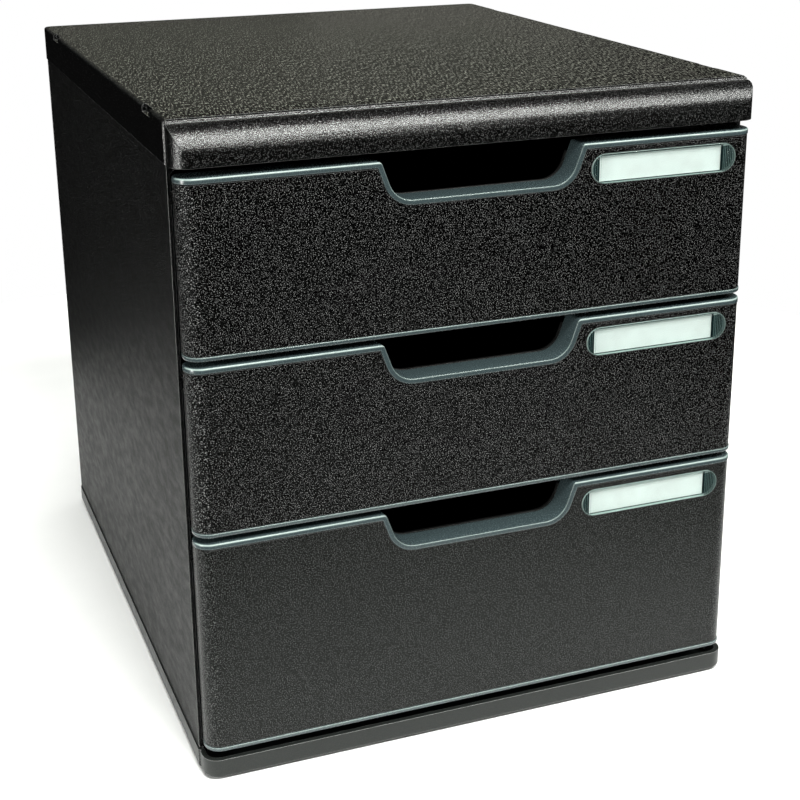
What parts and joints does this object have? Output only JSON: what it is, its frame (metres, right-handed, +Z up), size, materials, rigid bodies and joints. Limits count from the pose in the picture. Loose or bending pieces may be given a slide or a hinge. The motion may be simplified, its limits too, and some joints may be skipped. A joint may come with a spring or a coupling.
{
  "type": "desktop file drawer",
  "caption": "Desktop case for papers with stacked sliding drawers, each with a finger gap and a clear label holder.",
  "frame": {"origin": "middle of the footprint, on the table", "axes": "+Z up, +Y towards the back, the drawers open towards -Y, +X to the right seen from the front"},
  "size_m": [0.288, 0.35, 0.32],
  "materials": {
    "shell": "fine-grained black moulding",
    "panel": "fine-grained black moulding",
    "satin": "satin dark grey moulding",
    "grained": "coarse-grained black moulding",
    "slate": "slate grey moulding, satin",
    "tub": "plain black moulding",
    "clear": "clear moulding, polished",
    "card": "blank paper card",
    "foot_rubber": "soft pad"
  },
  "bodies": {
    "case": {"top_cover": "shell", "base": "satin", "side_panel_left": "panel", "side_panel_right": "panel", "back_panel": "panel", "foot_1": "foot_rubber", "foot_2": "foot_rubber", "foot_3": "foot_rubber", "foot_4": "foot_rubber"},
    "top_drawer": {"top_drawer_trim": "slate", "top_drawer_tub": "tub", "top_drawer_front_plate": "grained", "top_drawer_label_window": "clear", "top_drawer_label_card": "card"},
    "middle_drawer": {"middle_drawer_trim": "slate", "middle_drawer_tub": "tub", "middle_drawer_front_plate": "grained", "middle_drawer_label_window": "clear", "middle_drawer_label_card": "card"},
    "bottom_drawer": {"bottom_drawer_trim": "slate", "bottom_drawer_tub": "tub", "bottom_drawer_front_plate": "grained", "bottom_drawer_label_window": "clear", "bottom_drawer_label_card": "card"}
  },
  "joints": [
    {"name": "top_drawer_slide", "type": "slide", "parent": "case", "child": "top_drawer", "axis": [0, -1, 0], "range_m": [0, 0.2548]},
    {"name": "middle_drawer_slide", "type": "slide", "parent": "case", "child": "middle_drawer", "axis": [0, -1, 0], "range_m": [0, 0.2548]},
    {"name": "bottom_drawer_slide", "type": "slide", "parent": "case", "child": "bottom_drawer", "axis": [0, -1, 0], "range_m": [0, 0.2548]}
  ]
}
